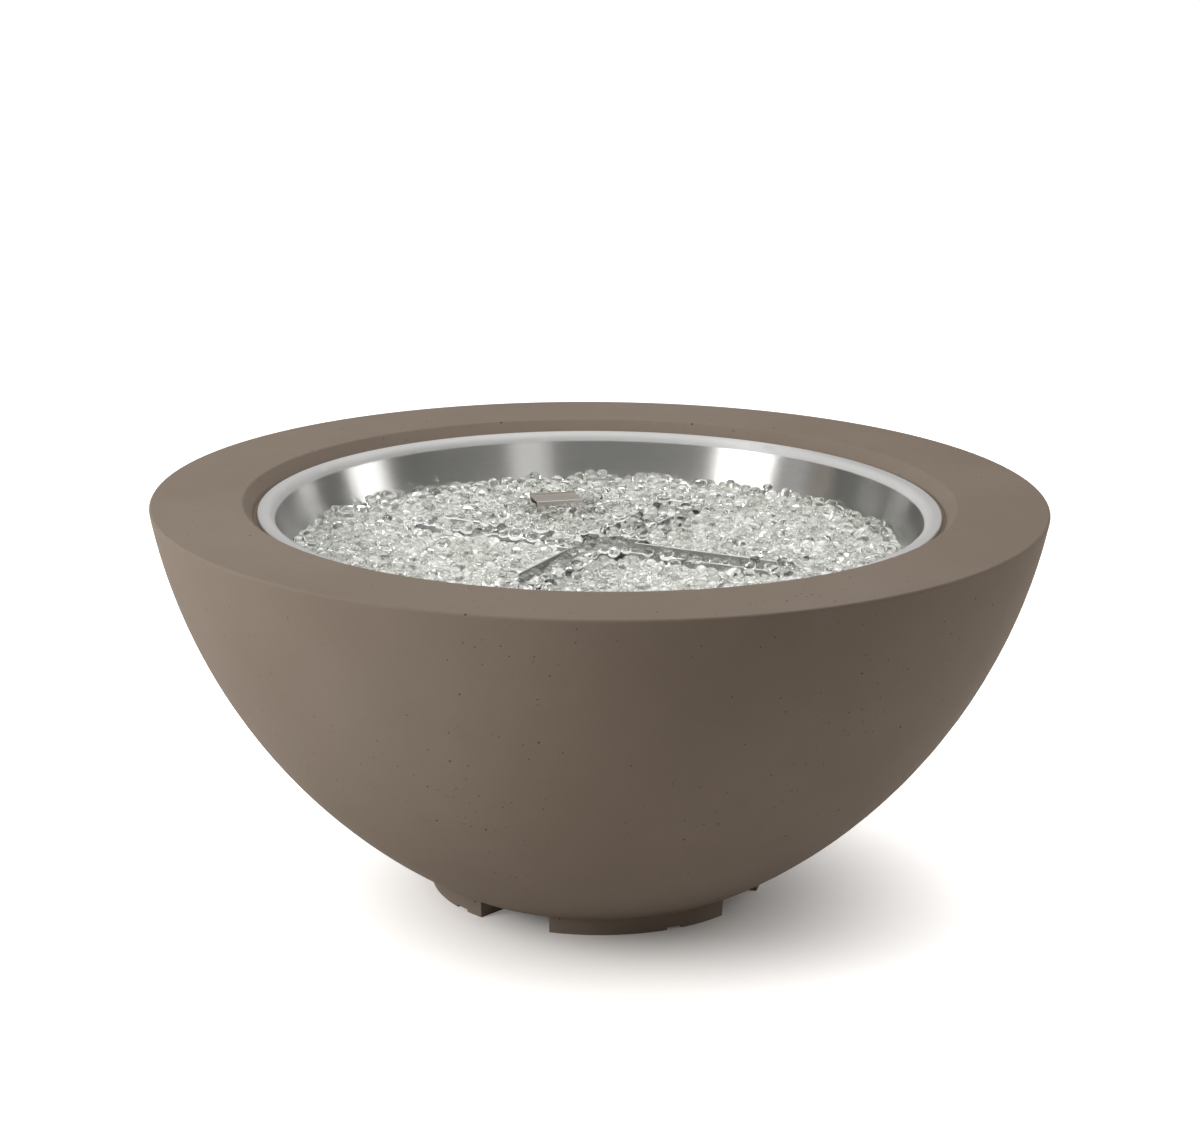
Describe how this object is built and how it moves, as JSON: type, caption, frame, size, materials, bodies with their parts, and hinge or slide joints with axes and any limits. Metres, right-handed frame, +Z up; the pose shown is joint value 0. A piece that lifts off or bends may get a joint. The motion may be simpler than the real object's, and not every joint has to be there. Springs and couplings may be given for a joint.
{
  "type": "gas fire pit bowl",
  "caption": "Round concrete fire pit bowl with a broad flat rim, spun stainless pan, cross burner under clear glass gems, ignition hood, and a rear panel with gas valve and spark igniter.",
  "frame": {"origin": "centre of the floor under the bowl", "axes": "+Z up; +Y from the centre to the control panel and the ignition hood; +X to the right of someone who looks along +Y"},
  "size_m": [1.0654, 1.0656, 0.48],
  "materials": {
    "concrete": "matt, slightly mottled, with small pores",
    "pan_steel": "spun, brushed round",
    "steel": "brushed",
    "screw_steel": "bright",
    "glass": "clear, fire polished",
    "brass": "machined",
    "plug_brass": "machined",
    "valve_aluminium": "die cast",
    "line_aluminium": "drawn, smooth",
    "ceramic": "matt white",
    "black_plastic": "fine matt",
    "red_plastic": "gloss",
    "battery_can": "gloss",
    "spring_steel": "bright",
    "lead_rubber": "smooth",
    "capillary_copper": "drawn"
  },
  "bodies": {
    "root": {"bowl_shell": "concrete", "burner_pan": "pan_steel", "burner_tray": "steel", "burner_deck": "steel", "burner_spacers": "screw_steel", "burner_screws": "screw_steel", "burner_nipple": "brass", "nipple_washer": "screw_steel", "nipple_nut": "brass", "air_mixer": "steel", "orifice_elbow": "brass", "glass_gems": "glass", "ignition_hood": "steel", "igniter_bracket": "steel", "bracket_screws": "screw_steel", "bracket_nuts": "screw_steel", "electrode_ceramic": "ceramic", "electrode_wire": "screw_steel", "flame_sensor": "screw_steel", "control_panel": "steel", "panel_screws": "screw_steel", "panel_inserts": "brass", "valve_body": "valve_aluminium", "valve_bonnet": "brass", "valve_nut": "screw_steel", "igniter_body": "black_plastic", "igniter_nut": "black_plastic", "igniter_cap": "black_plastic", "igniter_battery": "battery_can", "igniter_spring": "spring_steel", "inlet_bracket": "steel", "inlet_screws": "screw_steel", "inlet_inserts": "brass", "inlet_elbow": "brass", "inlet_nut": "brass", "supply_line": "line_aluminium", "burner_line": "line_aluminium", "supply_nuts": "brass", "burner_nuts": "brass", "igniter_lead": "lead_rubber", "sensor_lead": "capillary_copper"},
    "valve_plug": {"valve_plug": "plug_brass", "valve_spring": "spring_steel"},
    "valve_stem": {"valve_stem": "plug_brass", "control_knob": "black_plastic"},
    "igniter_button": {"igniter_button": "red_plastic"}
  },
  "joints": [
    {"name": "valve_turn", "type": "hinge", "parent": "root", "child": "valve_plug", "pos_m": [0.03, 0.41063, 0.2], "axis": [0, 0.7983, -0.6022], "range_deg": [0, 180]},
    {"name": "knob_push", "type": "slide", "parent": "valve_plug", "child": "valve_stem", "axis": [0, -0.7983, 0.6022], "range_m": [0, 0.003], "stiffness_N_per_m": 800, "deforming": ["valve_spring"]},
    {"name": "igniter_press", "type": "slide", "parent": "root", "child": "igniter_button", "axis": [0, -0.7983, 0.6022], "range_m": [0, 0.0035], "stiffness_N_per_m": 600, "deforming": ["igniter_spring"]}
  ]
}
